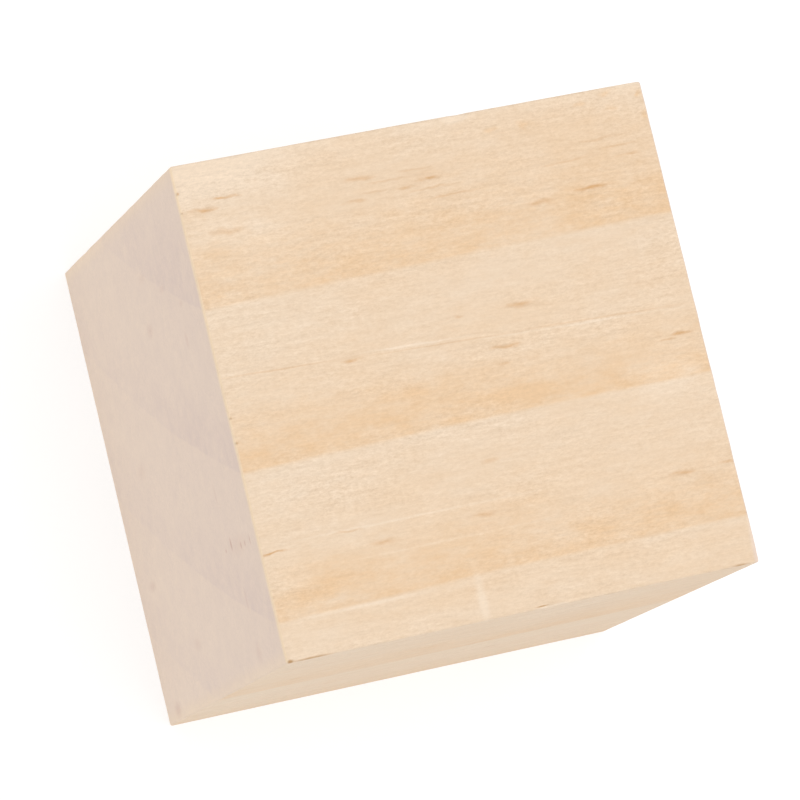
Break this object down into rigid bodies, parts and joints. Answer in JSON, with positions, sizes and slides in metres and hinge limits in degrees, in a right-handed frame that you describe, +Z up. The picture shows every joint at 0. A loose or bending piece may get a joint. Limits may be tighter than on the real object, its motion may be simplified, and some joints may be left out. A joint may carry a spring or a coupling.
{
  "type": "wooden cube",
  "caption": "Plain solid wooden cube with crisp arrises, planed sides and sawn end grain, for stacking, spacing, crafts and desk use.",
  "frame": {"origin": "middle of the bottom face", "axes": "+X along the grain, from the left sawn end to the right one; +Y from the front planed side to the back one; +Z up, out of the top face"},
  "size_m": [0.03, 0.03, 0.03],
  "materials": {
    "pine": "bare planed pine, matt"
  },
  "bodies": {
    "root": {"wood_cube": "pine"}
  },
  "joints": []
}
